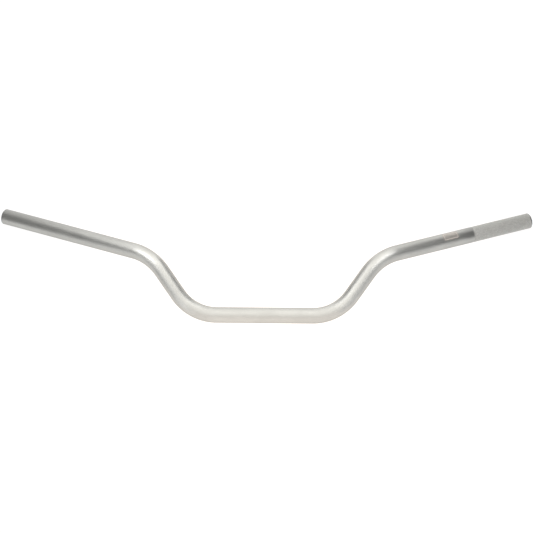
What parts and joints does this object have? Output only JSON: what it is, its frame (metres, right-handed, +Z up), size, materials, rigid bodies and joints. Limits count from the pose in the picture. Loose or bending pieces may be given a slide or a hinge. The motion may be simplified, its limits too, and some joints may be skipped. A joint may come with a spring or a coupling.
{
  "type": "motorcycle handlebar",
  "caption": "Bare motorcycle handlebar: a round hollow aluminium tube with a straight clamp section, raised swept-back grip ends and one knurled end.",
  "frame": {"origin": "middle of the straight clamp section, on the tube's axis", "axes": "+X along the clamp section towards the end that takes the clutch-side grip (the rider's left), +Y back towards the rider, +Z up. The bar lies as on a table: the clamp section and both bar ends touch the plane Z = -0.0111 m and the elbows arch above it"},
  "size_m": [0.774, 0.1879, 0.0561],
  "materials": {
    "tube": "satin, drawn lengthwise and anodised natural silver",
    "label": "thin satin film with a paler printed border"
  },
  "bodies": {
    "root": {"handlebar_tube": "tube", "blank_label": "label"}
  },
  "joints": []
}
